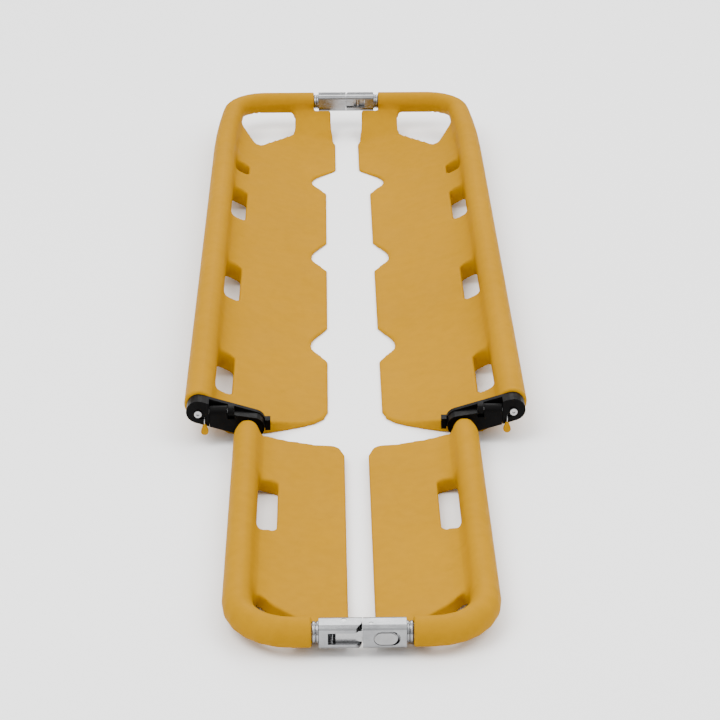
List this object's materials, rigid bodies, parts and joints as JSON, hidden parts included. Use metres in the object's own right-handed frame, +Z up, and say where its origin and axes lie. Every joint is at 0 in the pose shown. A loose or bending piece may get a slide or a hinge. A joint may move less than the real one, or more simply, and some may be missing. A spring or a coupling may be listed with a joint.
{
  "type": "folding scoop stretcher",
  "caption": "Plastic folding scoop stretcher that splits lengthwise; telescopic foot section folds over the main section, aluminium latching couplings at head and foot.",
  "frame": {"origin": "middle of the stretcher's footprint, on the surface it lies on", "axes": "+X to the stretcher's right seen from the foot end, +Y towards the head end, +Z up"},
  "size_m": [0.4296, 1.6496, 0.0648],
  "materials": {
    "yellow_plastic": "satin moulded polyethylene, golden yellow",
    "black_nylon": "satin black glass-filled nylon",
    "aluminium": "tumbled and lightly polished aluminium",
    "steel": "plain steel",
    "bright_steel": "polished push button"
  },
  "bodies": {
    "left_main": {"left_main_panel": "yellow_plastic", "left_frame_tube": "aluminium", "left_hinge_bracket": "black_nylon", "left_bracket_bolt": "steel", "left_fold_pin": "steel", "left_lock_spring": "steel", "head_carrier_casting": "aluminium", "head_lever_pin": "steel", "head_lever_spring": "steel"},
    "head_pivot": {"head_keeper_pin": "steel"},
    "right_main": {"right_main_panel": "yellow_plastic", "right_frame_tube": "aluminium", "right_hinge_bracket": "black_nylon", "right_bracket_bolt": "steel", "right_fold_pin": "steel", "right_lock_spring": "steel", "head_keeper_casting": "aluminium"},
    "left_fold": {"left_fold_arm": "black_nylon", "left_slide_tube": "aluminium"},
    "left_foot": {"left_foot_panel": "yellow_plastic", "left_end_tube": "aluminium", "foot_keeper_casting": "aluminium", "foot_keeper_pin": "steel"},
    "left_fold_lock": {"left_lock_plunger": "steel", "left_lock_wire": "steel", "left_lock_tab": "yellow_plastic"},
    "left_length_lock": {"left_length_button": "black_nylon"},
    "right_fold": {"right_fold_arm": "black_nylon", "right_slide_tube": "aluminium"},
    "right_foot": {"right_foot_panel": "yellow_plastic", "right_end_tube": "aluminium", "foot_carrier_casting": "aluminium", "foot_lever_pin": "steel", "foot_lever_spring": "steel"},
    "right_fold_lock": {"right_lock_plunger": "steel", "right_lock_wire": "steel", "right_lock_tab": "yellow_plastic"},
    "right_length_lock": {"right_length_button": "black_nylon"},
    "head_lever": {"head_lever": "steel"},
    "head_button": {"head_button": "bright_steel"},
    "foot_lever": {"foot_lever": "steel"},
    "foot_button": {"foot_button": "bright_steel"}
  },
  "joints": [
    {"name": "part_halves", "type": "slide", "parent": "left_main", "child": "head_pivot", "axis": [1, 0, 0], "range_m": [0, 0.3]},
    {"name": "spread_foot_end", "type": "hinge", "parent": "head_pivot", "child": "right_main", "pos_m": [0.02, 0.807, 0.049], "axis": [0, 0, 1], "range_deg": [0, 25]},
    {"name": "left_fold_hinge", "type": "hinge", "parent": "left_main", "child": "left_fold", "pos_m": [-0.171, -0.331, 0.044], "axis": [-1, 0, 0], "range_deg": [0, 180]},
    {"name": "left_extend", "type": "slide", "parent": "left_fold", "child": "left_foot", "axis": [0, -1, 0], "range_m": [0, 0.32]},
    {"name": "left_fold_lock_pull", "type": "slide", "parent": "left_main", "child": "left_fold_lock", "axis": [-1, 0, 0], "range_m": [0, 0.005], "stiffness_N_per_m": 300, "deforming": ["left_lock_spring"]},
    {"name": "left_length_lock_pull", "type": "slide", "parent": "left_foot", "child": "left_length_lock", "axis": [0, 0, -1], "range_m": [0, 0.0025], "stiffness_N_per_m": 300},
    {"name": "right_fold_hinge", "type": "hinge", "parent": "right_main", "child": "right_fold", "pos_m": [0.171, -0.331, 0.044], "axis": [-1, 0, 0], "range_deg": [0, 180]},
    {"name": "right_extend", "type": "slide", "parent": "right_fold", "child": "right_foot", "axis": [0, -1, 0], "range_m": [0, 0.32]},
    {"name": "right_fold_lock_pull", "type": "slide", "parent": "right_main", "child": "right_fold_lock", "axis": [1, 0, 0], "range_m": [0, 0.005], "stiffness_N_per_m": 300, "deforming": ["right_lock_spring"]},
    {"name": "right_length_lock_pull", "type": "slide", "parent": "right_foot", "child": "right_length_lock", "axis": [0, 0, -1], "range_m": [0, 0.0025], "stiffness_N_per_m": 300},
    {"name": "head_button_press", "type": "slide", "parent": "left_main", "child": "head_button", "axis": [0, -1, 0], "range_m": [0, 0.0024], "stiffness_N_per_m": 600},
    {"name": "head_lever_turn", "type": "hinge", "parent": "left_main", "child": "head_lever", "pos_m": [-0.009, 0.81405, 0.049], "axis": [0, 0, 1], "range_deg": [0, 6.9], "deforming": ["head_lever_spring"]},
    {"name": "foot_button_press", "type": "slide", "parent": "right_foot", "child": "foot_button", "axis": [0, 1, 0], "range_m": [0, 0.0024], "stiffness_N_per_m": 600},
    {"name": "foot_lever_turn", "type": "hinge", "parent": "right_foot", "child": "foot_lever", "pos_m": [0.009, -0.81305, 0.0245], "axis": [0, 0, 1], "range_deg": [0, 6.9], "deforming": ["foot_lever_spring"]}
  ],
  "couplings": [
    {"joint": "right_fold_hinge", "follows": "left_fold_hinge", "ratio": 1},
    {"joint": "right_extend", "follows": "left_extend", "ratio": 1},
    {"joint": "head_lever_turn", "follows": "head_button_press", "rad_per_m": 50},
    {"joint": "foot_lever_turn", "follows": "foot_button_press", "rad_per_m": 50}
  ]
}
